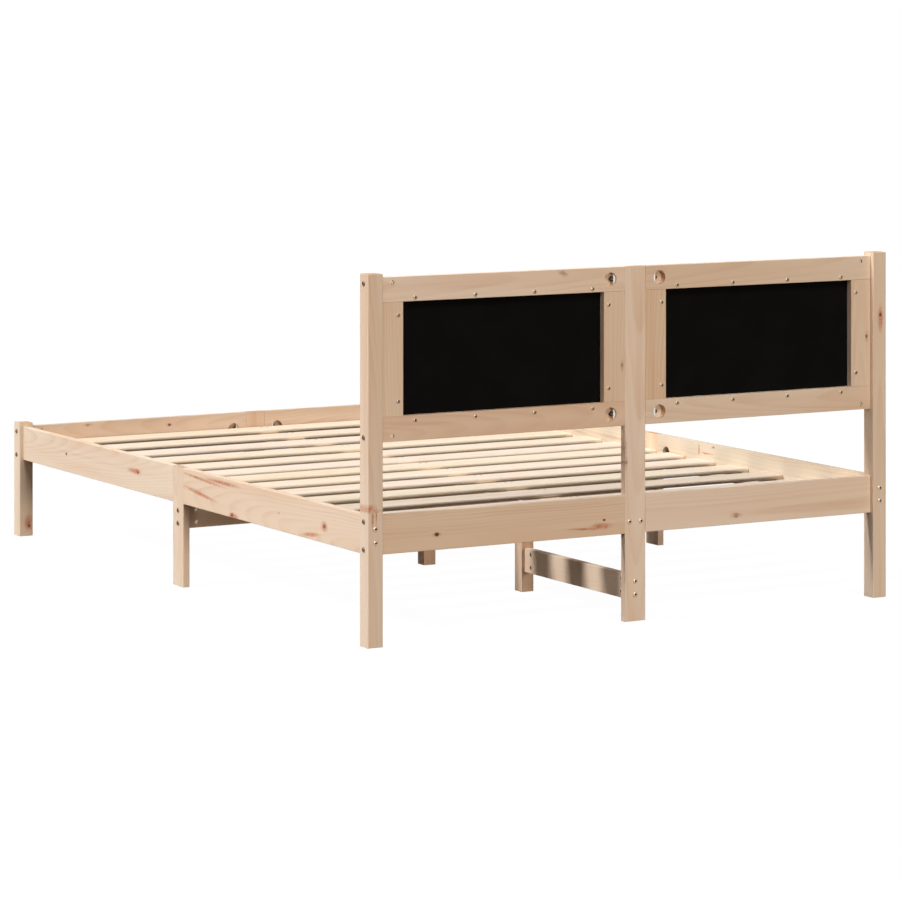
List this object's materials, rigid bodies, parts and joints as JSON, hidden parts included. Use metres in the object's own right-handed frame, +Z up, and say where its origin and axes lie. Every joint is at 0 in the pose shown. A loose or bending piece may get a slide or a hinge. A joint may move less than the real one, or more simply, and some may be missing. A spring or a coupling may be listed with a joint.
{
  "type": "bed frame",
  "caption": "Pine double bed frame on posts and centre legs, with a slatted deck and a headboard of two black padded panels in a board frame.",
  "frame": {"origin": "on the floor, under the middle of the bed", "axes": "+X across the bed to the right seen from the foot, +Y along it to the headboard, +Z up"},
  "size_m": [1.463, 2.063, 0.854],
  "materials": {
    "pine_frame": "planed pine, clear matt",
    "pine_slats": "planed pine, clear matt",
    "black_board": "black lining, matt",
    "black_padding": "woven upholstery over foam",
    "dowel_beech": "fluted dowel",
    "zinc_steel": "zinc plated"
  },
  "bodies": {
    "root": {"head_post_right": "pine_frame", "head_post_left": "pine_frame", "foot_post_right": "pine_frame", "foot_post_left": "pine_frame", "head_centre_post": "pine_frame", "foot_centre_post": "pine_frame", "side_leg_right": "pine_frame", "side_leg_left": "pine_frame", "centre_leg_middle": "pine_frame", "centre_leg_head": "pine_frame", "centre_leg_foot": "pine_frame", "side_rail_right_head": "pine_frame", "head_rail_right": "pine_frame", "ledger_right_head": "pine_frame", "side_rail_right_foot": "pine_frame", "foot_rail_right": "pine_frame", "ledger_right_foot": "pine_frame", "headboard_top_rail_right": "pine_frame", "headboard_bottom_rail_right": "pine_frame", "stile_right_inner": "pine_frame", "stile_right_outer": "pine_frame", "cross_stretcher_right": "pine_frame", "side_rail_left_head": "pine_frame", "head_rail_left": "pine_frame", "ledger_left_head": "pine_frame", "side_rail_left_foot": "pine_frame", "foot_rail_left": "pine_frame", "ledger_left_foot": "pine_frame", "headboard_top_rail_left": "pine_frame", "headboard_bottom_rail_left": "pine_frame", "stile_left_inner": "pine_frame", "stile_left_outer": "pine_frame", "cross_stretcher_left": "pine_frame", "centre_beam_head": "pine_frame", "low_stretcher_head": "pine_frame", "centre_beam_foot": "pine_frame", "low_stretcher_foot": "pine_frame", "slat_01": "pine_slats", "slat_02": "pine_slats", "slat_03": "pine_slats", "slat_04": "pine_slats", "slat_05": "pine_slats", "slat_06": "pine_slats", "slat_07": "pine_slats", "slat_08": "pine_slats", "slat_09": "pine_slats", "slat_10": "pine_slats", "slat_11": "pine_slats", "slat_12": "pine_slats", "slat_13": "pine_slats", "panel_board_right": "black_board", "headboard_pad_right": "black_padding", "panel_board_left": "black_board", "headboard_pad_left": "black_padding", "dowels": "dowel_beech", "frame_bolts": "zinc_steel", "barrel_nuts": "zinc_steel", "tie_rod_sets": "zinc_steel"}
  },
  "joints": []
}
